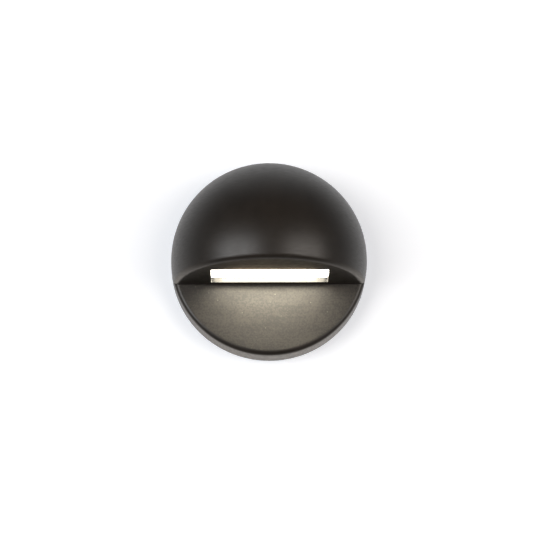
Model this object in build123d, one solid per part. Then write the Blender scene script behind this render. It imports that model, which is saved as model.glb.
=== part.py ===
from build123d import *
import math
import os

os.makedirs("parts", exist_ok=True)

# Everything is drawn with x to the right, y up and z out from the wall, in mm, and turned at the end
# so that z is up and the wall is the plane y = 0.

# Outside of the casting
BODY_R = 38.1
WALL_DEPTH = 7.9
FACE_DEPTH = 10.9
FACE_EDGE_R = 1.9
UNDERSIDE_Y = -10.3
UNDERSIDE_DRAFT = 3.0
HOOD_EDGE_R = 2.2

# Inside of the casting
HOOD_WALL = 2.5
SKIRT_WALL = 2.7
UNDERSIDE_WALL = 2.0
LEDGE_W = 2.9
CAVITY_CAP = 3.1
FACE_WALL = 2.3
FACE_POCKET_INSET = 2.4
FACE_POCKET_DROP = 2.0

# Window in the underside, set by the strips of underside left round it
WINDOW_SIDE = 15.5
WINDOW_FRONT = 16.1
WINDOW_REAR = 2.8
WINDOW_CORNER_R = 0.5

# How far a cut runs past a face, how deep a post or tab roots in a wall, and general clearances
CUT = 1.0
ROOT = 0.5
SCREW_GAP = 0.1
HOLE_GAP = 0.3
SLIDE_GAP = 0.3

# Wall gasket in a rebate of the rim
RIM_GAP = 0.3
RIM_LIP = 1.1
GASKET_T = 1.0
GASKET_INSET = 0.3

# Twist-lock
PLATE_T = 1.5
PLATE_INSET = 3.5
TAB_T = 1.2
TAB_FOOT = 2.3
TAB_HALF = 11.0
TAB_ANGLES = (90.0, 225.0, 315.0)
LUG_T = 1.2
LUG_GAP = 0.7
STOP_GAP = 0.6
STOP_WIDTH = 2.6
WIRE_HOLE_R = 12.0
WALL_HOLE_R = 2.25
WALL_HOLE_X = 22.0

# Lens stack, heights above the underside
LENS_FLANGE = 2.7
LENS_T = 2.2
LENS_RECESS = 1.9
LENS_GAP = 0.1
LENS_CORNER_R = 5.5
LENS_GASKET_T = 0.8
RETAINER_T = 1.0
RETAINER_LIP = 0.9
RETAINER_INSET = 0.3
RETAINER_EAR_LAP = 2.0
RETAINER_SCREW_SPAN = 10.0
RETAINER_SCREW_END = 0.4
POST_GAP = 0.2
POST_ROW = 2.6
POST_R = 2.2
REFLECTOR_H = 8.0
REFLECTOR_WALL = 1.2
REFLECTOR_TAPER = 1.2
LED_BOARD_INSET = 0.9
LED_BOARD_T = 1.6
LED_BOARD_FRONT = 7.0
LED_BOARD_EDGE = 2.85
LED_COUNT = 5
LED_MARGIN = 5.0
LED_W = 3.5
LED_D = 2.8
LED_T = 0.7
PAD_T = 0.5
SPREADER_LAP = 1.0
SPREADER_SET_BACK = 0.35
SPREADER_T = 3.0
SPREADER_EAR_D = 5.6
SPREADER_EAR_LAP = 2.0
SPREADER_SCREW_GRIP = 6.0
GROOVE_COUNT = 4
GROOVE_W = 1.2
GROOVE_DEPTH = 1.4
GROOVE_END = 3.0
GROOVE_MARGIN = 0.6
TALL_POST_R = 2.1

# Rear cover
COVER_T = 2.0
COVER_GASKET_T = 1.0
COVER_GAP = 0.5
COVER_LOW_LAP = 3.2
COVER_TOP_LAP = 2.1
COVER_SEAL_INSET = 0.4
COVER_SCREW_ANGLES = (5.6, 41.0, 139.0, 174.4)
COVER_SCREW_INSET = 1.95
COVER_SCREW_GRIP = 5.0
COVER_BOSS_R = 3.0
COVER_BOSS_L = 6.4
GROMMET_BORE_R = 2.6
GROMMET_NECK_R = 4.0
GROMMET_FLANGE_R = 6.0
GROMMET_INNER_R = 5.5
GROMMET_FLANGE_T = 1.4

# Driver
DRIVER_SIDE = 0.5
DRIVER_CORNER = 1.55
DRIVER_DROP = 0.3
DRIVER_T = 1.6
DRIVER_SCREW_GRIP = 3.0
STANDOFF_L = 5.0
STANDOFF_AF = 4.5
STANDOFF_EDGE = 3.5
STANDOFF_STUD_L = 1.2
STANDOFF_STUD_GAP = 0.2
STANDOFF_HOLE_L = 4.0
LEAD_R = 0.6
LEAD_BEND = 1.2
LEAD_STUB = 0.4
LEAD_GAP = 1.2
LEAD_EDGE = (5.2, 2.4)
LEAD_RISE = 2.5
LEAD_SOLDER = 0.05

# Parts on the driver board, in rows of its height: x, y from its lower edge, width, height, thickness
DRIVER_ROWS = 18.0
RECTIFIER = (-5.5, 14.1, 6.4, 5.0, 2.7)
CAPACITOR = (5.5, 13.7, 6.6, 6.6, 7.7)
INDUCTOR = (3.5, 5.5, 7.0, 7.0, 4.0)
CHIP = (-5.0, 5.1, 4.9, 3.9, 1.65)

# Their legs, feet and bevels, in the same rows
RECTIFIER_LIFT = 0.6
RECTIFIER_BEVEL = 0.3
RECTIFIER_LEG_X = 2.3
RECTIFIER_LEG_W = 1.0
RECTIFIER_LEG_SPAN = 7.0
RECTIFIER_LEG_T = 0.8
CAN_R = 3.15
CAN_BEVEL = 0.5
CAN_FOOT_T = 1.0
CAN_FOOT_CORNER = 0.8
CHOKE_CORNER = 0.9
CHOKE_BEVEL = 0.35
CHIP_LIFT = 0.15
CHIP_BEVEL = 0.3
CHIP_PITCH = 1.27
CHIP_LEGS = 4
CHIP_LEG_W = 0.45
CHIP_LEG_SPAN = 6.0
CHIP_LEG_T = 0.45

# Screws: shank radius, head radius, head height
M2 = (1.0, 1.9, 1.3)
M25 = (1.25, 2.25, 1.7)
M3 = (1.5, 2.75, 1.5)

# Shares of a screw: chamfer and socket depth of its head's height, socket radius of its shank's
HEAD_CHAMFER = 0.35
PAN_SOCKET = 0.55
FLAT_SOCKET = 0.6
SOCKET_R = 0.8

# Worked out from the values above
SKIRT_R = BODY_R - SKIRT_WALL
REBATE_R = BODY_R - RIM_LIP
HOOD_IN_R = BODY_R - HOOD_WALL
CAVITY_R = SKIRT_R - LEDGE_W
CAVITY_TOP = CAVITY_R - CAVITY_CAP
SLOPE = math.tan(math.radians(UNDERSIDE_DRAFT))
TILT_UP = (0, math.cos(math.radians(UNDERSIDE_DRAFT)), -math.sin(math.radians(UNDERSIDE_DRAFT)))


def underside_y(depth, above=0.0):
    return UNDERSIDE_Y + SLOPE * (depth - WALL_DEPTH) + above / TILT_UP[1]


WINDOW_NEAR = FACE_DEPTH + WINDOW_REAR
WINDOW_FAR = WALL_DEPTH + BODY_R - WINDOW_FRONT
WINDOW_CENTRE = (WINDOW_NEAR + WINDOW_FAR) / 2
WINDOW_D = WINDOW_FAR - WINDOW_NEAR
WINDOW_W = 2 * (BODY_R - WINDOW_SIDE)

WALL_FRAME = Rot(90, 0, 0)
HOOD_AXIS = Plane((0, 0, WALL_DEPTH), (1, 0, 0), TILT_UP).location
UNDERSIDE = Plane((0, UNDERSIDE_Y, WALL_DEPTH), (1, 0, 0), TILT_UP).location
OPTIC = Plane((0, underside_y(WINDOW_CENTRE), WINDOW_CENTRE), (1, 0, 0), TILT_UP).location
FAR = 150.0

LENS_SEAT = UNDERSIDE_WALL + LENS_GASKET_T
LENS_TOP = LENS_SEAT + LENS_T
RETAINER_TOP = LENS_TOP + RETAINER_T
REFLECTOR_TOP = RETAINER_TOP + REFLECTOR_H
LED_BOARD_TOP = REFLECTOR_TOP + LED_BOARD_T
PAD_TOP = LED_BOARD_TOP + PAD_T
SPREADER_TOP = PAD_TOP + SPREADER_T
LENS_W = WINDOW_W + 2 * LENS_FLANGE
LENS_D = WINDOW_D + 2 * LENS_FLANGE
POST_X = LENS_W / 2 + POST_GAP + POST_R
RETAINER_SCREWS = [
    (side * POST_X, POST_ROW + end * RETAINER_SCREW_SPAN / 2) for side in (-1, 1) for end in (-1, 1)
]
SPREADER_SCREWS = [(side * POST_X, POST_ROW) for side in (-1, 1)]
LED_BOARD_W = WINDOW_W - 2 * LED_BOARD_INSET
LED_PITCH = (LED_BOARD_W - 2 * LED_MARGIN) / (LED_COUNT - 1)
SPREADER_W = LED_BOARD_W + 2 * SPREADER_LAP

LUG_REAR = GASKET_T
LUG_FRONT = LUG_REAR + LUG_T
TAB_REAR = LUG_FRONT + SLIDE_GAP
TAB_FRONT = TAB_REAR + TAB_T
PLATE_R = SKIRT_R - PLATE_INSET
TAB_INNER_R = PLATE_R - TAB_FOOT
LUG_R = PLATE_R + LUG_GAP
TAB_R = SKIRT_R - COVER_GAP

COVER_REAR = TAB_FRONT + SLIDE_GAP
COVER_FRONT = COVER_REAR + COVER_T
LEDGE_DEPTH = COVER_FRONT + COVER_GASKET_T
COVER_R = SKIRT_R - COVER_GAP
COVER_BOTTOM = UNDERSIDE_Y - COVER_LOW_LAP
COVER_TOP = CAVITY_TOP + COVER_TOP_LAP
COVER_SCREW_R = CAVITY_R - COVER_SCREW_INSET
COVER_SCREWS = [
    (COVER_SCREW_R * math.cos(math.radians(a)), COVER_SCREW_R * math.sin(math.radians(a)))
    for a in COVER_SCREW_ANGLES
]

BOARD_REAR = COVER_FRONT + STANDOFF_L
BOARD_FRONT = BOARD_REAR + DRIVER_T
DRIVER_W = CAVITY_R - DRIVER_SIDE
DRIVER_BOTTOM = UNDERSIDE_Y + SPREADER_TOP - DRIVER_DROP
DRIVER_TOP = math.sqrt((CAVITY_R - DRIVER_CORNER) ** 2 - (DRIVER_W / 2) ** 2)
DRIVER_H = DRIVER_TOP - DRIVER_BOTTOM
DRIVER_Y = (DRIVER_TOP + DRIVER_BOTTOM) / 2
DRIVER_ROW = DRIVER_H / DRIVER_ROWS
STANDOFF_X = DRIVER_W / 2 - STANDOFF_EDGE

LEAD_DEPTH = BOARD_FRONT + LEAD_STUB + LEAD_BEND
LEAD_ROW = WINDOW_CENTRE - LEAD_DEPTH
LEAD_Y = DRIVER_BOTTOM + LEAD_RISE
LED_BOARD_D = LED_BOARD_FRONT + LEAD_ROW + LED_BOARD_EDGE
SPREADER_FRONT = LED_BOARD_FRONT - SPREADER_SET_BACK
SPREADER_D = SPREADER_FRONT + LEAD_ROW - LEAD_R - LEAD_GAP


def slab(sketch, low, high):
    return Pos(0, 0, low) * extrude(sketch, amount=high - low)


def rod(radius, low, high, x=0.0, y=0.0):
    return Pos(x, y, (low + high) / 2) * Cylinder(radius, high - low)


def block(width, height, low, high, x=0.0, y=0.0):
    return Pos(x, y, (low + high) / 2) * Box(width, height, high - low)


def sector(inner, outer, start, end, low, high):
    near = CenterArc((0, 0), inner, start, end - start)
    far = CenterArc((0, 0), outer, start, end - start)
    outline = [near, far, Line(near @ 0, far @ 0), Line(near @ 1, far @ 1)]
    return slab(make_face(outline), low, high)


def turned(corners, hub, rounded, radius):
    """Revolves an outline of (radius, height) points about z. It closes with an arc about (0, hub)."""
    lines = [Line(a, b) for a, b in zip(corners, corners[1:])]
    first, last = [math.degrees(math.atan2(y - hub, x)) for x, y in (corners[-1], corners[0])]
    bulge = CenterArc((0, hub), math.dist(corners[0], (0, hub)), first, last - first)
    profile = make_face(lines + [bulge])
    corner = profile.vertices().sort_by_distance((*rounded, 0))[0]
    return revolve(Plane.XZ * fillet(corner, radius), Axis.Z)


def pan_screw(size, length):
    shank, head, height = size
    whole = rod(shank, -length, 0) + rod(head, 0, height)
    rim = whole.edges().filter_by(GeomType.CIRCLE).sort_by(Axis.Z)[-1]
    whole = chamfer(rim, height * HEAD_CHAMFER)
    socket = slab(RegularPolygon(shank * SOCKET_R, 6), height * (1 - PAN_SOCKET), height + CUT)
    return whole - socket


def flat_screw(size, length):
    shank, head, height = size
    cone = Pos(0, 0, -height / 2) * Cone(shank, head, height)
    whole = rod(shank, -length, -height) + cone
    socket = slab(RegularPolygon(shank * SOCKET_R, 6), -height * FLAT_SOCKET, CUT)
    return whole - socket


def write(node, shape):
    solids = shape if isinstance(shape, list) else [shape]
    placed = [WALL_FRAME * s for s in solids]
    whole = placed[0] if len(placed) == 1 else Compound(children=placed)
    whole.label = node
    export_step(whole, "parts/" + node + ".step")


# Base drum with its rounded front edge, which starts on the ball that the hood is part of
face_r = math.sqrt(BODY_R**2 - (FACE_DEPTH - WALL_DEPTH) ** 2)
face_corner = (face_r, FACE_DEPTH)
drum_outline = [face_corner, (0, FACE_DEPTH), (0, RIM_GAP), (BODY_R, RIM_GAP), (BODY_R, WALL_DEPTH)]
drum = turned(drum_outline, WALL_DEPTH, face_corner, FACE_EDGE_R)

# Hood: the part of the ball above the underside, with its lower edge rounded
hood_drop = -UNDERSIDE_Y * TILT_UP[1]
hood_corner = (math.sqrt(BODY_R**2 - hood_drop**2), -hood_drop)
hood_outline = [(0, BODY_R), (0, -hood_drop), hood_corner]
hood = HOOD_AXIS * turned(hood_outline, 0, hood_corner, HOOD_EDGE_R)
hood &= block(FAR, FAR, WALL_DEPTH, FAR)
outside = drum + hood

# Compartment for the LED stack and the recess behind it
room = rod(CAVITY_R, LEDGE_DEPTH, FAR)
room &= Pos(0, 0, WALL_DEPTH) * Sphere(HOOD_IN_R)
room &= UNDERSIDE * block(FAR, FAR, UNDERSIDE_WALL, FAR)
room &= block(FAR, FAR, 0, FAR, 0, CAVITY_TOP - FAR / 2)
casting = outside - rod(SKIRT_R, 0, LEDGE_DEPTH) - rod(REBATE_R, 0, GASKET_T) - room

pocket = rod(SKIRT_R - FACE_POCKET_INSET, LEDGE_DEPTH - CUT, FACE_DEPTH - FACE_WALL)
pocket &= block(FAR, FAR, 0, FAR, 0, COVER_BOTTOM - FACE_POCKET_DROP - FAR / 2)
casting -= pocket

window = slab(RectangleRounded(WINDOW_W, WINDOW_D, WINDOW_CORNER_R), -CUT, UNDERSIDE_WALL + CUT)
casting -= OPTIC * window

# Cast posts for the lens retainer, the heat spreader and the rear cover
for px, py in RETAINER_SCREWS:
    casting += OPTIC * rod(POST_R, UNDERSIDE_WALL - ROOT, LENS_TOP, px, py)
for px, py in SPREADER_SCREWS:
    casting += OPTIC * rod(TALL_POST_R, UNDERSIDE_WALL - ROOT, PAD_TOP, px, py)
for px, py in COVER_SCREWS:
    casting += rod(COVER_BOSS_R, LEDGE_DEPTH, LEDGE_DEPTH + COVER_BOSS_L, px, py) & outside

RETAINER_SHANK = RETAINER_T + LENS_TOP - UNDERSIDE_WALL - RETAINER_SCREW_END
SPREADER_SHANK = SPREADER_T + SPREADER_SCREW_GRIP
COVER_SHANK = COVER_T + COVER_GASKET_T + COVER_SCREW_GRIP
retainer_hole = RETAINER_TOP - RETAINER_SHANK - HOLE_GAP
spreader_hole = SPREADER_TOP - SPREADER_SHANK - HOLE_GAP
for px, py in RETAINER_SCREWS:
    casting -= OPTIC * rod(M2[0] + SCREW_GAP, retainer_hole, LENS_TOP + CUT, px, py)
for px, py in SPREADER_SCREWS:
    casting -= OPTIC * rod(M25[0] + SCREW_GAP, spreader_hole, PAD_TOP + CUT, px, py)
for px, py in COVER_SCREWS:
    casting -= rod(M3[0] + SCREW_GAP, LEDGE_DEPTH - CUT, COVER_REAR + COVER_SHANK + HOLE_GAP, px, py)

# Lugs on the inside of the skirt that turn behind the tabs of the mounting plate
for angle in TAB_ANGLES:
    casting += sector(LUG_R, SKIRT_R + CUT, angle - TAB_HALF, angle + TAB_HALF, LUG_REAR, LUG_FRONT)

write("hood_housing", casting)

# Ring in the rebate of the rim, pressed to the wall
ring = rod(REBATE_R - GASKET_INSET, 0, GASKET_T) - rod(SKIRT_R + GASKET_INSET, -CUT, GASKET_T + CUT)
write("wall_gasket", ring)

# Mounting plate with three raised tabs, each with a stop at its clockwise end
plate = rod(PLATE_R, 0, PLATE_T) - rod(WIRE_HOLE_R, -CUT, PLATE_T + CUT)
for side in (-1, 1):
    plate -= rod(WALL_HOLE_R, -CUT, PLATE_T + CUT, side * WALL_HOLE_X, 0)
for angle in TAB_ANGLES:
    first = angle - TAB_HALF - STOP_GAP - STOP_WIDTH
    last = angle + TAB_HALF
    plate += sector(TAB_INNER_R, PLATE_R, first, last, PLATE_T - ROOT, TAB_FRONT)
    plate += sector(TAB_INNER_R, TAB_R, first, last, TAB_REAR, TAB_FRONT)
    plate += sector(PLATE_R - ROOT, TAB_R, first, first + STOP_WIDTH, LUG_REAR, TAB_FRONT)
write("mounting_plate", plate)

# Lens with a pad that stands in the window, its gasket and its retainer
lens = slab(RectangleRounded(LENS_W, LENS_D, LENS_CORNER_R), LENS_SEAT, LENS_TOP)
pad_w = WINDOW_W - 2 * LENS_GAP
pad_d = WINDOW_D - 2 * LENS_GAP
lens += slab(RectangleRounded(pad_w, pad_d, WINDOW_CORNER_R), LENS_RECESS, LENS_SEAT)
write("lens", OPTIC * lens)

seal = slab(RectangleRounded(LENS_W, LENS_D, LENS_CORNER_R), UNDERSIDE_WALL, LENS_SEAT)
seal_hole = RectangleRounded(WINDOW_W + 2 * HOLE_GAP, WINDOW_D + 2 * HOLE_GAP, WINDOW_CORNER_R)
seal -= slab(seal_hole, UNDERSIDE_WALL - CUT, LENS_SEAT + CUT)
write("lens_gasket", OPTIC * seal)

rail_w = LENS_W - 2 * RETAINER_INSET
rail_d = LENS_D - 2 * RETAINER_INSET
frame = slab(RectangleRounded(rail_w, rail_d, LENS_CORNER_R - RETAINER_INSET), LENS_TOP, RETAINER_TOP)
for px, py in RETAINER_SCREWS:
    ear_w = POST_R + RETAINER_EAR_LAP
    ear_x = px - math.copysign(ear_w / 2, px)
    ear = block(ear_w, 2 * POST_R, LENS_TOP, RETAINER_TOP, ear_x, py)
    frame += ear + rod(POST_R, LENS_TOP, RETAINER_TOP, px, py)
frame_w = WINDOW_W - 2 * RETAINER_LIP
frame_d = WINDOW_D - 2 * RETAINER_LIP
frame -= slab(RectangleRounded(frame_w, frame_d, WINDOW_CORNER_R), LENS_TOP - CUT, RETAINER_TOP + CUT)
for px, py in RETAINER_SCREWS:
    frame -= rod(M2[0] + SCREW_GAP, LENS_TOP - CUT, RETAINER_TOP + CUT, px, py)
write("lens_retainer", OPTIC * frame)

small = pan_screw(M2, RETAINER_SHANK)
write("lens_retainer_screws", [OPTIC * Pos(px, py, RETAINER_TOP) * small for px, py in RETAINER_SCREWS])

# Reflector box
foot_w = frame_w + 2 * REFLECTOR_WALL
foot_d = frame_d + 2 * REFLECTOR_WALL
head_w = frame_w - 2 * REFLECTOR_TAPER
head_d = frame_d - 2 * REFLECTOR_TAPER
shell_out = loft(
    [
        Pos(0, 0, RETAINER_TOP) * Rectangle(foot_w, foot_d),
        Pos(0, 0, REFLECTOR_TOP) * Rectangle(head_w, head_d),
    ]
)
shell_in = loft(
    [
        Pos(0, 0, RETAINER_TOP) * Rectangle(frame_w, frame_d),
        Pos(0, 0, REFLECTOR_TOP) * Rectangle(head_w - 2 * REFLECTOR_WALL, head_d - 2 * REFLECTOR_WALL),
    ]
)
write("reflector", OPTIC * (shell_out - shell_in))

# LED board, emitters, thermal pad and heat spreader
board_y = LED_BOARD_D / 2 - LED_BOARD_FRONT
led_board = block(LED_BOARD_W, LED_BOARD_D, REFLECTOR_TOP, LED_BOARD_TOP, 0, board_y)
write("led_board", OPTIC * led_board)

emitters = []
for i in range(LED_COUNT):
    ex = (i - (LED_COUNT - 1) / 2) * LED_PITCH
    emitters.append(OPTIC * block(LED_W, LED_D, REFLECTOR_TOP - LED_T, REFLECTOR_TOP, ex, 0))
write("led_emitters", emitters)

spreader_y = SPREADER_D / 2 - SPREADER_FRONT
pad = block(LED_BOARD_W, SPREADER_D, LED_BOARD_TOP, PAD_TOP, 0, spreader_y)
write("thermal_pad", OPTIC * pad)

spreader = block(SPREADER_W, SPREADER_D, PAD_TOP, SPREADER_TOP, 0, spreader_y)
ear_end = POST_X + TALL_POST_R
ear_w = ear_end - SPREADER_W / 2 + SPREADER_EAR_LAP
for side in (-1, 1):
    ear_x = side * (ear_end - ear_w / 2)
    spreader += block(ear_w, SPREADER_EAR_D, PAD_TOP, SPREADER_TOP, ear_x, POST_ROW)
groove_l = SPREADER_W - 2 * GROOVE_END
groove_pitch = SPREADER_D / (GROOVE_COUNT + GROOVE_MARGIN)
for i in range(GROOVE_COUNT):
    groove_y = spreader_y + (i - (GROOVE_COUNT - 1) / 2) * groove_pitch
    spreader -= block(groove_l, GROOVE_W, SPREADER_TOP - GROOVE_DEPTH, SPREADER_TOP + CUT, 0, groove_y)
for px, py in SPREADER_SCREWS:
    spreader -= rod(M25[0] + SCREW_GAP, PAD_TOP - CUT, SPREADER_TOP + CUT, px, py)
write("heat_spreader", OPTIC * spreader)

medium = pan_screw(M25, SPREADER_SHANK)
write("heat_spreader_screws", [OPTIC * Pos(px, py, SPREADER_TOP) * medium for px, py in SPREADER_SCREWS])

# Rear cover, its gasket and its screws
cover_mid = (COVER_TOP + COVER_BOTTOM) / 2
cover_face = Circle(COVER_R) & Pos(0, cover_mid) * Rectangle(FAR, COVER_TOP - COVER_BOTTOM)
cover = slab(cover_face, COVER_REAR, COVER_FRONT)
for px, py in COVER_SCREWS:
    cover -= rod(M3[0] + SCREW_GAP, COVER_REAR - CUT, COVER_FRONT + CUT, px, py)
    sink = Cone(M3[1] + SCREW_GAP, M3[0] + SCREW_GAP, M3[2])
    cover -= Pos(px, py, COVER_REAR + M3[2] / 2) * sink
for side in (-1, 1):
    stud_hole = COVER_FRONT - STANDOFF_STUD_L - STANDOFF_STUD_GAP
    cover -= rod(M25[0] + SCREW_GAP, stud_hole, COVER_FRONT + CUT, side * STANDOFF_X, DRIVER_Y)
cover -= rod(GROMMET_NECK_R, COVER_REAR - CUT, COVER_FRONT + CUT)
write("rear_cover", cover)

inset = COVER_SEAL_INSET
seal_face = Circle(COVER_R - inset)
seal_face &= Pos(0, cover_mid) * Rectangle(FAR, COVER_TOP - COVER_BOTTOM - 2 * inset)
floor_y = underside_y(LEDGE_DEPTH, UNDERSIDE_WALL) - inset
opening = Circle(CAVITY_R + inset)
opening &= Pos(0, (CAVITY_TOP + inset + floor_y) / 2) * Rectangle(FAR, CAVITY_TOP + inset - floor_y)
seal_face -= opening
for px, py in COVER_SCREWS:
    seal_face += Pos(px, py) * Circle(COVER_BOSS_R - SCREW_GAP)
for px, py in COVER_SCREWS:
    seal_face -= Pos(px, py) * Circle(M3[0] + HOLE_GAP)
cover_seal = slab(seal_face, COVER_FRONT, LEDGE_DEPTH)
write("rear_cover_gasket", cover_seal)

flat = Rot(0, 180, 0) * flat_screw(M3, COVER_SHANK)
write("rear_cover_screws", [Pos(px, py, COVER_REAR) * flat for px, py in COVER_SCREWS])

# Bush for the supply lead
bush = rod(GROMMET_NECK_R - SCREW_GAP / 2, COVER_REAR - ROOT, COVER_FRONT + ROOT)
bush += rod(GROMMET_FLANGE_R, COVER_REAR - GROMMET_FLANGE_T, COVER_REAR)
bush += rod(GROMMET_INNER_R, COVER_FRONT, COVER_FRONT + GROMMET_FLANGE_T)
bush -= rod(GROMMET_BORE_R, COVER_REAR - FAR, COVER_FRONT + FAR)
write("lead_grommet", bush)

# Driver board on two standoffs
board = block(DRIVER_W, DRIVER_H, BOARD_REAR, BOARD_FRONT, 0, DRIVER_Y)
for side in (-1, 1):
    board -= rod(M2[0] + HOLE_GAP, BOARD_REAR - CUT, BOARD_FRONT + CUT, side * STANDOFF_X, DRIVER_Y)
write("driver_board", board)

standoff = slab(RegularPolygon(STANDOFF_AF / 2, 6, major_radius=False), COVER_FRONT, BOARD_REAR)
standoff += rod(M25[0], COVER_FRONT - STANDOFF_STUD_L, COVER_FRONT)
standoff -= rod(M2[0] + SCREW_GAP, BOARD_REAR - STANDOFF_HOLE_L, BOARD_REAR + CUT)
write("driver_standoffs", [Pos(side * STANDOFF_X, DRIVER_Y, 0) * standoff for side in (-1, 1)])

board_screw = pan_screw(M2, DRIVER_T + DRIVER_SCREW_GRIP)
board_screws = [Pos(side * STANDOFF_X, DRIVER_Y, BOARD_FRONT) * board_screw for side in (-1, 1)]
write("driver_board_screws", board_screws)

# Parts on the driver board


def rows(*counts):
    return [DRIVER_ROW * count for count in counts]


def on_board(part):
    x, y, width, height, thickness = rows(*part)
    return x, DRIVER_BOTTOM + y, width, height, BOARD_FRONT + thickness


bx, by, bw, bh, top = on_board(RECTIFIER)
lift, bevel, leg_x = rows(RECTIFIER_LIFT, RECTIFIER_BEVEL, RECTIFIER_LEG_X)
leg_w, leg_span, leg_t = rows(RECTIFIER_LEG_W, RECTIFIER_LEG_SPAN, RECTIFIER_LEG_T)
rectifier = block(bw, bh, BOARD_FRONT + lift, top, bx, by)
rectifier = chamfer(rectifier.faces().sort_by(Axis.Z)[-1].edges(), bevel)
for side in (-1, 1):
    rectifier += block(leg_w, leg_span, BOARD_FRONT, BOARD_FRONT + leg_t, bx + side * leg_x, by)
write("bridge_rectifier", rectifier)

bx, by, bw, bh, top = on_board(CAPACITOR)
can_r, bevel, foot_t, corner = rows(CAN_R, CAN_BEVEL, CAN_FOOT_T, CAN_FOOT_CORNER)
can = rod(can_r, BOARD_FRONT + foot_t, top, bx, by)
can = chamfer(can.edges().filter_by(GeomType.CIRCLE).sort_by(Axis.Z)[-1], bevel)
can += slab(Pos(bx, by) * RectangleRounded(bw, bh, corner), BOARD_FRONT, BOARD_FRONT + foot_t)
write("filter_capacitor", can)

bx, by, bw, bh, top = on_board(INDUCTOR)
corner, bevel = rows(CHOKE_CORNER, CHOKE_BEVEL)
choke = block(bw, bh, BOARD_FRONT, top, bx, by)
choke = chamfer(choke.edges().filter_by(Axis.Z), corner)
choke = chamfer(choke.faces().sort_by(Axis.Z)[-1].edges(), bevel)
write("buck_inductor", choke)

bx, by, bw, bh, top = on_board(CHIP)
lift, bevel, pitch = rows(CHIP_LIFT, CHIP_BEVEL, CHIP_PITCH)
leg_w, leg_span, leg_t = rows(CHIP_LEG_W, CHIP_LEG_SPAN, CHIP_LEG_T)
chip = block(bw, bh, BOARD_FRONT + lift, top, bx, by)
chip = chamfer(chip.faces().sort_by(Axis.Z)[-1].edges(), bevel)
for i in range(CHIP_LEGS):
    leg_x = bx + (i - (CHIP_LEGS - 1) / 2) * pitch
    chip += block(leg_w, leg_span, BOARD_FRONT, BOARD_FRONT + leg_t, leg_x, by)
write("driver_chip", chip)

# Two short wires from the driver board down to the LED board
lead_end = underside_y(LEAD_DEPTH, LED_BOARD_TOP) + LEAD_SOLDER
leads = []
for edge in LEAD_EDGE:
    lx = DRIVER_W / 2 - edge
    start = (lx, LEAD_Y, BOARD_FRONT)
    bend_in = (lx, LEAD_Y, BOARD_FRONT + LEAD_STUB)
    bend_out = (lx, LEAD_Y - LEAD_BEND, LEAD_DEPTH)
    run = Line(start, bend_in)
    turn = TangentArc(bend_in, bend_out, tangent=(0, 0, 1))
    drop = Line(bend_out, (lx, lead_end, LEAD_DEPTH))
    path = run + turn + drop
    section = Plane(start, (1, 0, 0), (0, 0, 1)) * Circle(LEAD_R)
    leads.append(sweep(section, path=path))
write("led_leads", leads)
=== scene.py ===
import math

import bpy
from mathutils import Matrix, Vector


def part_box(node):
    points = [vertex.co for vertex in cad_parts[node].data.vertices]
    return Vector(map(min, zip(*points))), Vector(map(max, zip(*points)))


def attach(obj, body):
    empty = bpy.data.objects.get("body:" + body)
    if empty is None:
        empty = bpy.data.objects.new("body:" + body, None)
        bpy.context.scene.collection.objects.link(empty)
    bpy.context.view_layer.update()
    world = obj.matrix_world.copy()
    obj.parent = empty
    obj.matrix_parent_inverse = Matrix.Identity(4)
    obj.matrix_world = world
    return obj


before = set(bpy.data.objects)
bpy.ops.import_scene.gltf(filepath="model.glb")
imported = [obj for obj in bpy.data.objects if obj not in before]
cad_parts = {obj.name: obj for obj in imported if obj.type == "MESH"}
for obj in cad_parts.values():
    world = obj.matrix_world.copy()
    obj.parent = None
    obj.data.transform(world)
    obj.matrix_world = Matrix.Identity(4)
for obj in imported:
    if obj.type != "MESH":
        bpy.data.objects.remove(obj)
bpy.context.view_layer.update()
scene = bpy.context.scene

# Camera, in metres and degrees: it looks up at the part from in front of the wall
CAMERA_DISTANCE = 1.2
CAMERA_AZIMUTH = -0.88
CAMERA_ELEVATION = -14.5
CAMERA_ROLL = -0.36
FRAME_WIDTH = 0.20877
SENSOR = 36.0

# Picture, in pixels: its size, and where the part's origin falls in it
IMAGE_SIZE = 533.0
ORIGIN_PIXEL = (268.76, 266.09)

# Stage, in metres: a round floor far below the part and a wall behind it, both glowing a little
FLOOR_Z = -0.8
FLOOR_RADIUS = 6.0
FLOOR_SIDES = 60
FLOOR_TONES = ((0.84, 0.845, 0.85), (0.86, 0.865, 0.87))
FLOOR_GLOW = 0.55
WALL_Y = 0.0003
WALL_SIZE = 1.6
WALL_TONES = ((0.79, 0.79, 0.79), (0.81, 0.81, 0.81))
WALL_TINT = (0.96, 1.07, 1.21, 1.0)
WALL_GLOW = 0.36
STAGE_CLOUDS = 3.0
STAGE_ROUGHNESS = 0.9
WHITE = (1.0, 1.0, 1.0, 1.0)

# Softboxes: azimuth and elevation from the part, distance, width, height, power, colour
SOFTBOXES = {
    "softbox_left": (-37.8, -3.0, 1.1, 0.91, 0.6, 7.9, (1.0, 1.0, 1.0)),
    "softbox_right": (39.3, -3.0, 1.1, 0.84, 0.6, 6.0, (1.0, 0.94, 0.88)),
    "softbox_top": (0.0, 95.0, 1.1, 1.0, 1.0, 0.8, (1.0, 1.0, 1.0)),
}

# Studio by direction: levels in front and behind, how much brighter it is below, and its share straight down
ROOM_DEPTH = (-0.15, 0.7)
ROOM_LEVELS = (0.125, 0.9)
ROOM_HEIGHT = (-0.5, 0.1)
ROOM_BELOW = 1.5
ROOM_FOOT = (-0.85, -0.4)
ROOM_FOOT_SHARE = 0.6

# Studio tints: warm in front, neutral behind, a little warm low down behind
ROOM_TINT = (-0.6, -0.05)
ROOM_FRONT = (1.3, 0.98, 0.74, 1.0)
ROOM_BACK = (1.0, 0.995, 1.0, 1.0)
ROOM_LOW_TINT = (-0.2, 0.15)
ROOM_LOW = (1.2, 1.125, 1.05, 1.0)

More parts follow.
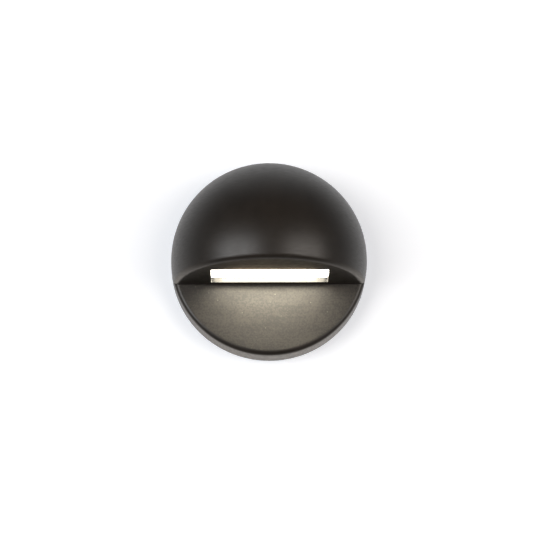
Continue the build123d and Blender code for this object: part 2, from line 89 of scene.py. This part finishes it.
# Panels of LED light below the lens: share of its width, start and end along its depth, spread, power
LED_LIGHTS = {
    "led_light_wide": (0.95, 0.02, 0.3, 180.0, 0.0132),
    "led_light_rear": (0.82, 0.02, 0.3, 180.0, 0.0109),
    "led_light_middle": (0.95, 0.3, 0.6, 180.0, 0.0098),
    "led_light_core": (0.5, 0.1, 0.55, 120.0, 0.0118),
}
LED_COLOUR = (1.0, 0.935, 0.745)
# How far each panel hangs below the one before it
LED_DROP = 0.00002

# Strips of LED light over the window's front edge: shares of the lens's width, height, drop below it, power
SPILL_SHARES = (0.6, 0.8)
SPILL_HEIGHT = 0.0006
SPILL_DROP = 0.0026
SPILL_POWER = 0.0105

# Flat faces: how squarely their polygons look along a direction, and how far they may lie from one plane
LOOKS_ALONG = 0.99
SAME_PLANE = 0.00001

# Patterns: the part of a noise's range in use, its detail, stretch, and turn on a lying or upright board
NOISE_REACH = (0.3, 0.7)
NOISE_DETAIL = 3.0
EVEN = (1, 1, 1)
ROLLED = (8, 400, 400)
TURNED = (200, 200, 200)
LYING = (0, 0, 0)
UPRIGHT = (math.pi / 2, 0, 0)

# Bronze: how far specks cover each casting, and colours of the dome, the lower face and a speck
BRONZES = {"bronze_casting": 0.8, "bronze_cover": 0.4}
DOME_TONES = ((0.008, 0.0064, 0.0051), (0.0132, 0.0106, 0.0086))
# The lower face's colours are lighter than the dome's partly for its cast finish and partly as painted fill
# light
FACE_TONES_WITH_PAINTED_FILL = ((0.0105, 0.009, 0.0073), (0.03, 0.0259, 0.0213))
SPECK_COLOUR = (0.1, 0.089, 0.073, 1.0)

# Bronze: where the finish and painted fill light of the lower face fade, in front of its plane, behind it
# and across its top edge
FACE_FRONT = (-0.0015, -0.0009)
FACE_BACK = (0.00002, 0.0001)
FACE_TOP = (-0.00046, 0.00024)

# Bronze: scale, detail and stretch of its patterns
MOTTLE = (140.0, 4.0, EVEN)
PEEL = (1900.0, 2.0, EVEN)
BRUSHED = (60.0, NOISE_DETAIL, (6, 6, 55))
GRAIN = (1700.0, NOISE_DETAIL, EVEN)
DRAWN = (300.0, NOISE_DETAIL, (0.3, 1, 5))
SMUDGE = (75.0, NOISE_DETAIL, (0.6, 1, 1.8))
PATCHES = (110.0, NOISE_DETAIL, EVEN)
SPECK_SCALE = 330.0

# Bronze: shares of lines and smudges in the cast face, reach of its patterns, roughness of dome and face
DRAWN_SHARE = 0.2
SMUDGE_SHARE = 0.25
CAST_REACH = (0.425, 0.575)
SPECK_REACH = (0.04, 0.09)
PATCH_REACH = (0.42, 0.5)
DOME_ROUGHNESS = (0.33, 0.45)
FACE_ROUGHNESS = (0.55, 0.7)

# Lens: colours of the frosted glass and of its light, strength of that light, scale and detail of patterns
LENS_TONES = ((0.86, 0.84, 0.8), (0.92, 0.9, 0.86))
LENS_LIGHT = ((1.0, 0.95, 0.86), (1.0, 0.97, 0.9))
LENS_GLOW = 4.0
LENS_CLOUDS = (220.0, 2.0)
LENS_FROST = (2500.0, NOISE_DETAIL)
LENS_ROUGHNESS = (0.45, 0.6)

# Moulded finishes: darkest and lightest colour, lowest and highest roughness, scale of the grain
MOULDED = {
    "black_silicone": (((0.012, 0.012, 0.012), (0.03, 0.03, 0.03)), (0.6, 0.8), 1800.0),
    "black_epoxy": (((0.012, 0.012, 0.012), (0.028, 0.028, 0.028)), (0.4, 0.6), 1800.0),
    "black_rubber": (((0.01, 0.01, 0.01), (0.025, 0.025, 0.025)), (0.55, 0.75), 1800.0),
    "white_plastic": (((0.84, 0.84, 0.81), (0.9, 0.9, 0.87)), (0.35, 0.5), 1800.0),
    "grey_pad": (((0.3, 0.3, 0.32), (0.38, 0.38, 0.4)), (0.7, 0.9), 900.0),
    "ferrite_block": (((0.04, 0.04, 0.045), (0.09, 0.09, 0.1)), (0.5, 0.75), 700.0),
}
MOULDED_CLOUDS = 260.0

# Metals: darkest and lightest colour, lowest and highest roughness, stretch of the drawn lines
METALS = {
    "stainless": (((0.52, 0.51, 0.5), (0.64, 0.63, 0.61)), (0.22, 0.38), ROLLED),
    "stainless_plate": (((0.5, 0.49, 0.47), (0.62, 0.61, 0.59)), (0.24, 0.42), ROLLED),
    "stainless_screws": (((0.46, 0.46, 0.45), (0.6, 0.6, 0.58)), (0.22, 0.38), TURNED),
    "aluminium_plate": (((0.68, 0.69, 0.7), (0.76, 0.77, 0.78)), (0.25, 0.4), ROLLED),
    "brass_standoffs": (((0.6, 0.42, 0.14), (0.72, 0.53, 0.2)), (0.2, 0.32), ROLLED),
    "capacitor_can": (((0.6, 0.6, 0.62), (0.7, 0.7, 0.72)), (0.25, 0.4), ROLLED),
}
METAL_CLOUDS = 180.0
METAL_LINES = (10.0, 4.0)

# Printed boards: colour of the mask beside and over the copper lines, turn of the pattern
BOARDS = {
    "white_board": (((0.8, 0.8, 0.77), (0.86, 0.86, 0.83)), LYING),
    "green_board": (((0.008, 0.07, 0.025), (0.02, 0.12, 0.05)), UPRIGHT),
}
TRACK_SCALE = 240.0
TRACK_WIDTH = 0.06
TRACK_REACH = (0.2, 0.8)
MASK_CLOUDS = 500.0
MASK_ROUGHNESS = (0.28, 0.4)

# Foam: colours, reach and scale of its pores, roughness
FOAM_TONES = ((0.02, 0.02, 0.02), (0.07, 0.07, 0.068))
PORE_REACH = (0.1, 0.5)
PORE_SCALE = 1500.0
FOAM_ROUGHNESS = 0.9

# LED phosphor: colours, scale and detail of its grains, roughness
PHOSPHOR_TONES = ((0.84, 0.66, 0.2), (0.95, 0.82, 0.42))
PHOSPHOR_GRAINS = (3000.0, 2.0)
PHOSPHOR_ROUGHNESS = (0.45, 0.6)

# Wires: red and black, half the width of the change between them, scale of the gloss, roughness
WIRE_COLOURS = ((0.42, 0.02, 0.015), (0.02, 0.02, 0.02))
WIRE_CHANGE = 0.0001
WIRE_CLOUDS = 900.0
WIRE_ROUGHNESS = (0.4, 0.55)

# Relief of the finishes: depth in metres, strength
PEEL_RELIEF = (0.000012, 0.6)
GRAIN_RELIEF = (0.000025, 0.6)
BRUSHED_RELIEF = (0.00001, 0.4)
FROST_RELIEF = (0.00002, 0.4)
MOULDED_RELIEF = (0.00003, 0.6)
LINE_RELIEF = (0.00001, 0.35)
TRACK_RELIEF = (0.00003, 0.5)
PORE_RELIEF = (0.0001, 0.7)
PHOSPHOR_RELIEF = (0.00002, 0.5)

# The finish of each CAD node
WEARS = {
    "hood_housing": "bronze_casting",
    "lens": "frosted_lens",
    "lens_gasket": "black_silicone",
    "lens_retainer": "stainless",
    "lens_retainer_screws": "stainless_screws",
    "reflector": "white_plastic",
    "led_board": "white_board",
    "led_emitters": "led_phosphor",
    "thermal_pad": "grey_pad",
    "heat_spreader": "aluminium_plate",
    "heat_spreader_screws": "stainless_screws",
    "led_leads": "lead_insulation",
    "driver_board": "green_board",
    "bridge_rectifier": "black_epoxy",
    "filter_capacitor": "capacitor_can",
    "buck_inductor": "ferrite_block",
    "driver_chip": "black_epoxy",
    "driver_standoffs": "brass_standoffs",
    "driver_board_screws": "stainless_screws",
    "rear_cover": "bronze_cover",
    "rear_cover_gasket": "black_silicone",
    "rear_cover_screws": "stainless_screws",
    "lead_grommet": "black_rubber",
    "mounting_plate": "stainless_plate",
    "wall_gasket": "grey_foam",
}

scene.view_settings.view_transform = "Standard"


def aim(azimuth, elevation):
    """The direction from the part at these angles in degrees. Azimuth 0 is straight in front."""
    a = math.radians(azimuth)
    e = math.radians(elevation)
    return Vector((math.sin(a) * math.cos(e), -math.cos(a) * math.cos(e), math.sin(e)))


def facing(back, place):
    """A matrix at place that looks against the direction back, with its top upwards."""
    right = Vector((0, 0, 1)).cross(back).normalized()
    up = back.cross(right)
    turn = Matrix((right, up, back)).transposed().to_4x4()
    return Matrix.Translation(place) @ turn


def add_camera():
    """The camera, moved sideways so that the part's origin falls on its pixel."""
    data = bpy.data.cameras.new("camera")
    camera = bpy.data.objects.new("camera", data)
    scene.collection.objects.link(camera)
    data.sensor_width = SENSOR
    data.lens = SENSOR * CAMERA_DISTANCE / FRAME_WIDTH
    roll = Matrix.Rotation(math.radians(CAMERA_ROLL), 4, "Z")
    view = facing(aim(CAMERA_AZIMUTH, CAMERA_ELEVATION), Vector()) @ roll
    pixel = FRAME_WIDTH / IMAGE_SIZE
    across = (IMAGE_SIZE / 2 - ORIGIN_PIXEL[0]) * pixel
    upward = (ORIGIN_PIXEL[1] - IMAGE_SIZE / 2) * pixel
    place = view @ Vector((across, upward, CAMERA_DISTANCE))
    camera.matrix_world = Matrix.Translation(place) @ view
    scene.camera = camera


def add_panel(name, width, height, power, colour, matrix):
    """A rectangle of light that the camera doesn't see."""
    data = bpy.data.lights.new(name, "AREA")
    data.shape = "RECTANGLE"
    data.size = width
    data.size_y = height
    data.energy = power
    data.color = colour
    light = bpy.data.objects.new(name, data)
    scene.collection.objects.link(light)
    light.matrix_world = matrix
    light.visible_camera = False
    return light


def add_softbox(name, azimuth, elevation, distance, width, height, power, colour):
    """A panel of studio light that looks at the part."""
    back = aim(azimuth, elevation)
    add_panel(name, width, height, power, colour, facing(back, back * distance))


def flat_face(node, direction):
    """Normal, lowest and highest corner of a node's largest flat face that looks along direction."""
    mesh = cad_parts[node].data
    along = [p for p in mesh.polygons if p.normal.dot(direction) > LOOKS_ALONG]
    largest = max(along, key=lambda p: p.area)
    face = [p for p in along if abs((p.center - largest.center).dot(largest.normal)) < SAME_PLANE]
    corners = [mesh.vertices[i].co for p in face for i in p.vertices]
    low = Vector([min(c[i] for c in corners) for i in range(3)])
    high = Vector([max(c[i] for c in corners) for i in range(3)])
    return face[0].normal, low, high


def add_led_lights():
    """The LEDs' light through the lens: down on the lower face, and forward along the underside."""
    normal, low, high = flat_face("lens", Vector((0, 0, -1)))
    width = high.x - low.x
    # The lens's depth along Y, shortened by its tilt
    depth = (high.y - low.y) * -normal.z
    turn = Vector((0, 0, -1)).rotation_difference(normal)
    place = Matrix.Translation((low + high) / 2) @ turn.to_matrix().to_4x4()
    for row, (name, (wide, start, end, spread, power)) in enumerate(LED_LIGHTS.items(), 1):
        shift = Matrix.Translation((0, (0.5 - (start + end) / 2) * depth, -LED_DROP * row))
        light = add_panel(name, wide * width, (end - start) * depth, power, LED_COLOUR, place @ shift)
        light.data.spread = math.radians(spread)
        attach(light, "housing")
    forward = Matrix.Translation((0, -depth / 2, -SPILL_DROP)) @ Matrix.Rotation(-math.pi / 2, 4, "X")
    for share in SPILL_SHARES:
        name = f"led_spill_{share}"
        light = add_panel(name, share * width, SPILL_HEIGHT, SPILL_POWER, LED_COLOUR, place @ forward)
        light.visible_glossy = False
        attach(light, "housing")


class Nodes:
    """Short calls for the nodes of one tree. An input is a number, a colour or another node's output."""

    def __init__(self, tree):
        self.tree = tree

    def put(self, value, socket):
        """Links an output to the socket, or sets a number or colour on it."""
        if isinstance(value, bpy.types.NodeSocket):
            self.tree.links.new(value, socket)
        else:
            socket.default_value = value

    def node(self, kind, **inputs):
        """A new node. An underscore in an input's name stands for a space."""
        made = self.tree.nodes.new(kind)
        for key, value in inputs.items():
            self.put(value, made.inputs[key.replace("_", " ")])
        return made

    def axes(self, place):
        return self.node("ShaderNodeSeparateXYZ", Vector=place).outputs

    def spread(self, value, low, high, reach=NOISE_REACH, ease="LINEAR"):
        """A number that goes from low to high as value goes over reach."""
        start, end = reach
        made = self.node(
            "ShaderNodeMapRange", Value=value, From_Min=start, From_Max=end, To_Min=low, To_Max=high
        )
        made.interpolation_type = ease
        return made.outputs["Result"]

    def mix(self, share, first, second, kind="FLOAT"):
        """First where share is 0, second where it is 1."""
        made = self.node("ShaderNodeMix")
        made.data_type = kind
        self.put(share, made.inputs["Factor"])
        self.put(first, made.inputs["A"])
        self.put(second, made.inputs["B"])
        return made.outputs["Result"]

    def times(self, first, second):
        made = self.node("ShaderNodeMath")
        made.operation = "MULTIPLY"
        self.put(first, made.inputs[0])
        self.put(second, made.inputs[1])
        return made.outputs["Value"]


class Finish(Nodes):
    """The nodes of one material, with patterns that lie in the object's own metres."""

    def __init__(self, name):
        self.material = bpy.data.materials.new(name)
        self.material.use_nodes = True
        super().__init__(self.material.node_tree)
        self.bsdf = self.tree.nodes["Principled BSDF"]

    def place(self, stretch=EVEN, turn=LYING):
        where = self.node("ShaderNodeTexCoord").outputs["Object"]
        return self.node("ShaderNodeMapping", Vector=where, Scale=stretch, Rotation=turn).outputs["Vector"]

    def noise(self, scale, detail=NOISE_DETAIL, stretch=EVEN):
        made = self.node("ShaderNodeTexNoise", Vector=self.place(stretch), Scale=scale, Detail=detail)
        return made.outputs["Fac"]

    def cells(self, scale):
        return self.node("ShaderNodeTexVoronoi", Vector=self.place(), Scale=scale).outputs["Distance"]

    def tones(self, value, colours, reach=NOISE_REACH):
        """A colour that goes from the first to the second as value goes over reach."""
        made = self.node("ShaderNodeValToRGB", Fac=value)
        for stop, position, colour in zip(made.color_ramp.elements, reach, colours):
            stop.position = position
            stop.color = (*colour, 1)
        return made.outputs["Color"]

    def bump(self, value, relief, under=None):
        """The surface raised by value, on top of an earlier bump where there is one."""
        depth, strength = relief
        made = self.node("ShaderNodeBump", Height=value, Distance=depth, Strength=strength)
        if under is not None:
            self.put(under, made.inputs["Normal"])
        return made.outputs["Normal"]

    def surface(self, **values):
        """Sets the surface's sockets and gives the finished material."""
        for key, value in values.items():
            self.put(value, self.bsdf.inputs[key.replace("_", " ")])
        return self.material


def lower_face(s):
    """1 on the casting's flat lower face, 0 elsewhere."""
    _, low, high = flat_face("hood_housing", Vector((0, -1, 0)))
    where = s.axes(s.place())
    front = s.spread(where["Y"], 0.0, 1.0, [low.y + d for d in FACE_FRONT])
    back = s.spread(where["Y"], 1.0, 0.0, [low.y + d for d in FACE_BACK])
    below = s.spread(where["Z"], 1.0, 0.0, [high.z + d for d in FACE_TOP])
    return s.times(s.times(front, back), below)


def bronze(name, cover):
    """Satin dark bronze paint on a casting. The lower face is as cast: coarser and speckled, and lighter,
    partly from its finish and partly as painted fill light.
    """
    s = Finish(name)
    lower = lower_face(s)
    brushed = s.noise(*BRUSHED)
    grain = s.noise(*GRAIN)
    cast = s.mix(SMUDGE_SHARE, s.mix(DRAWN_SHARE, grain, s.noise(*DRAWN)), s.noise(*SMUDGE))
    dome = s.tones(s.noise(*MOTTLE), DOME_TONES)
    # Lighter tones of the lower face: partly its cast finish, partly painted fill light
    face = s.tones(cast, FACE_TONES_WITH_PAINTED_FILL, CAST_REACH)
    specks = s.times(s.spread(s.cells(SPECK_SCALE), 1.0, 0.0, SPECK_REACH), lower)
    patches = s.spread(s.noise(*PATCHES), 0.0, cover, PATCH_REACH)
    paint = s.mix(lower, dome, face, "RGBA")
    smooth = s.spread(brushed, *DOME_ROUGHNESS)
    coarse = s.spread(grain, *FACE_ROUGHNESS)
    peeled = s.bump(s.noise(*PEEL), PEEL_RELIEF)
    pitted = s.bump(s.times(grain, lower), GRAIN_RELIEF, peeled)
    return s.surface(
        Base_Color=s.mix(s.times(specks, patches), paint, SPECK_COLOUR, "RGBA"),
        Roughness=s.mix(lower, smooth, coarse),
        Normal=s.bump(brushed, BRUSHED_RELIEF, pitted),
    )


def frosted_glass(name):
    """Frosted glass lit from behind."""
    s = Finish(name)
    clouds = s.noise(*LENS_CLOUDS)
    return s.surface(
        Base_Color=s.tones(clouds, LENS_TONES),
        Roughness=s.spread(clouds, *LENS_ROUGHNESS),
        Emission_Color=s.tones(clouds, LENS_LIGHT),
        Emission_Strength=LENS_GLOW,
        Normal=s.bump(s.noise(*LENS_FROST), FROST_RELIEF),
    )


def moulded(name, colours, roughness, grain):
    """Moulded rubber, plastic or epoxy with a fine matt grain."""
    s = Finish(name)
    matt = s.noise(grain)
    return s.surface(
        Base_Color=s.tones(s.noise(MOULDED_CLOUDS), colours),
        Roughness=s.spread(matt, *roughness),
        Normal=s.bump(matt, MOULDED_RELIEF),
    )


def metal(name, colours, roughness, stretch):
    """Rolled or turned metal with drawn lines."""
    s = Finish(name)
    lines = s.noise(*METAL_LINES, stretch)
    return s.surface(
        Base_Color=s.tones(s.noise(METAL_CLOUDS), colours),
        Metallic=1.0,
        Roughness=s.spread(lines, *roughness),
        Normal=s.bump(lines, LINE_RELIEF),
    )


def solder_mask(name, colours, turn):
    """Printed board: mask over copper lines that stand slightly proud."""
    s = Finish(name)
    place = s.place(turn=turn)
    bricks = s.node("ShaderNodeTexBrick", Vector=place, Scale=TRACK_SCALE, Mortar_Size=TRACK_WIDTH)
    tracks = bricks.outputs["Fac"]
    return s.surface(
        Base_Color=s.tones(tracks, colours, TRACK_REACH),
        Roughness=s.spread(s.noise(MASK_CLOUDS), *MASK_ROUGHNESS),
        Normal=s.bump(tracks, TRACK_RELIEF),
    )


def foam(name):
    """Closed-cell rubber: small pores in a dark ring."""
    s = Finish(name)
    pores = s.cells(PORE_SCALE)
    return s.surface(
        Base_Color=s.tones(pores, FOAM_TONES, PORE_REACH),
        Roughness=FOAM_ROUGHNESS,
        Normal=s.bump(pores, PORE_RELIEF),
    )


def phosphor(name):
    """The yellow grains that cover an LED."""
    s = Finish(name)
    grains = s.noise(*PHOSPHOR_GRAINS)
    return s.surface(
        Base_Color=s.tones(grains, PHOSPHOR_TONES),
        Roughness=s.spread(grains, *PHOSPHOR_ROUGHNESS),
        Normal=s.bump(grains, PHOSPHOR_RELIEF),
    )


def wire_pair(name):
    """One red and one black wire."""
    s = Finish(name)
    low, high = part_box("led_leads")
    middle = (low[0] + high[0]) / 2
    across = s.axes(s.place())["X"]
    side = s.spread(across, 0.0, 1.0, (middle - WIRE_CHANGE, middle + WIRE_CHANGE))
    return s.surface(
        Base_Color=s.tones(side, WIRE_COLOURS),
        Roughness=s.spread(s.noise(WIRE_CLOUDS), *WIRE_ROUGHNESS),
    )


def finishes():
    """Every finish by its name."""
    made = {name: bronze(name, cover) for name, cover in BRONZES.items()}
    for kind, table in ((moulded, MOULDED), (metal, METALS), (solder_mask, BOARDS)):
        made.update({name: kind(name, *row) for name, row in table.items()})
    singles = {
        "frosted_lens": frosted_glass,
        "grey_foam": foam,
        "led_phosphor": phosphor,
        "lead_insulation": wire_pair,
    }
    made.update({name: kind(name) for name, kind in singles.items()})
    return made


def dress():
    """Gives each CAD node its finish."""
    made = finishes()
    for node, finish in WEARS.items():
        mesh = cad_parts[node].data
        mesh.materials.clear()
        mesh.materials.append(made[finish])


def add_sheet(name, corners, material):
    """One flat face that neither lights the part nor is reflected in it."""
    mesh = bpy.data.meshes.new(name)
    mesh.from_pydata(corners, [], [range(len(corners))])
    mesh.materials.append(material)
    sheet = bpy.data.objects.new(name, mesh)
    scene.collection.objects.link(sheet)
    sheet.visible_diffuse = False
    sheet.visible_glossy = False
    return sheet


def add_floor():
    """A plain pale floor, far below the part."""
    angles = [math.tau * side / FLOOR_SIDES for side in range(FLOOR_SIDES)]
    corners = [(math.cos(a) * FLOOR_RADIUS, math.sin(a) * FLOOR_RADIUS, FLOOR_Z) for a in angles]
    s = Finish("pale_floor")
    pale = s.surface(
        Base_Color=s.tones(s.noise(STAGE_CLOUDS), FLOOR_TONES),
        Roughness=STAGE_ROUGHNESS,
        Emission_Color=WHITE,
        Emission_Strength=FLOOR_GLOW,
    )
    floor = add_sheet("floor", corners, pale)


def add_wall():
    """The white wall that the part hangs on. Seen from behind it isn't there."""
    right = WALL_SIZE / 2
    top = FLOOR_Z + WALL_SIZE
    corners = [
        (-right, WALL_Y, FLOOR_Z),
        (right, WALL_Y, FLOOR_Z),
        (right, WALL_Y, top),
        (-right, WALL_Y, top),
    ]
    s = Finish("white_wall")
    white = s.surface(
        Base_Color=s.tones(s.noise(STAGE_CLOUDS), WALL_TONES),
        Roughness=STAGE_ROUGHNESS,
        Specular_IOR_Level=0.0,
        Emission_Color=WALL_TINT,
        Emission_Strength=WALL_GLOW,
    )
    sides = s.node("ShaderNodeMixShader", Fac=s.node("ShaderNodeNewGeometry").outputs["Backfacing"])
    s.put(s.bsdf.outputs["BSDF"], sides.inputs[1])
    s.put(s.node("ShaderNodeBsdfTransparent").outputs["BSDF"], sides.inputs[2])
    s.put(sides.outputs["Shader"], s.tree.nodes["Material Output"].inputs["Surface"])
    wall = add_sheet("wall", corners, white)
    wall.visible_transmission = False
    wall.visible_shadow = False


def add_surroundings():
    """A white studio behind the part, dim and warm in front of it, which the camera sees as plain white."""
    scene.world = bpy.data.worlds.new("studio")
    scene.world.use_nodes = True
    s = Nodes(scene.world.node_tree)
    s.tree.nodes.clear()
    direction = s.axes(s.node("ShaderNodeTexCoord").outputs["Generated"])

    def ramp(axis, reach, low, high):
        return s.spread(direction[axis], low, high, reach, "SMOOTHSTEP")

    height = s.times(ramp("Z", ROOM_HEIGHT, ROOM_BELOW, 1.0), ramp("Z", ROOM_FOOT, ROOM_FOOT_SHARE, 1.0))
    level = s.times(ramp("Y", ROOM_DEPTH, *ROOM_LEVELS), height)
    back = s.mix(ramp("Z", ROOM_LOW_TINT, 0.0, 1.0), ROOM_LOW, ROOM_BACK, "RGBA")
    tint = s.mix(ramp("Y", ROOM_TINT, 0.0, 1.0), ROOM_FRONT, back, "RGBA")
    seen = s.node("ShaderNodeLightPath").outputs["Is Camera Ray"]
    colour = s.mix(seen, tint, WHITE, "RGBA")
    glow = s.node("ShaderNodeBackground", Color=colour, Strength=s.mix(seen, level, 1.0))
    s.node("ShaderNodeOutputWorld", Surface=glow.outputs["Background"])


add_camera()
add_surroundings()
add_floor()
add_wall()
for name, setting in SOFTBOXES.items():
    add_softbox(name, *setting)
add_led_lights()
dress()
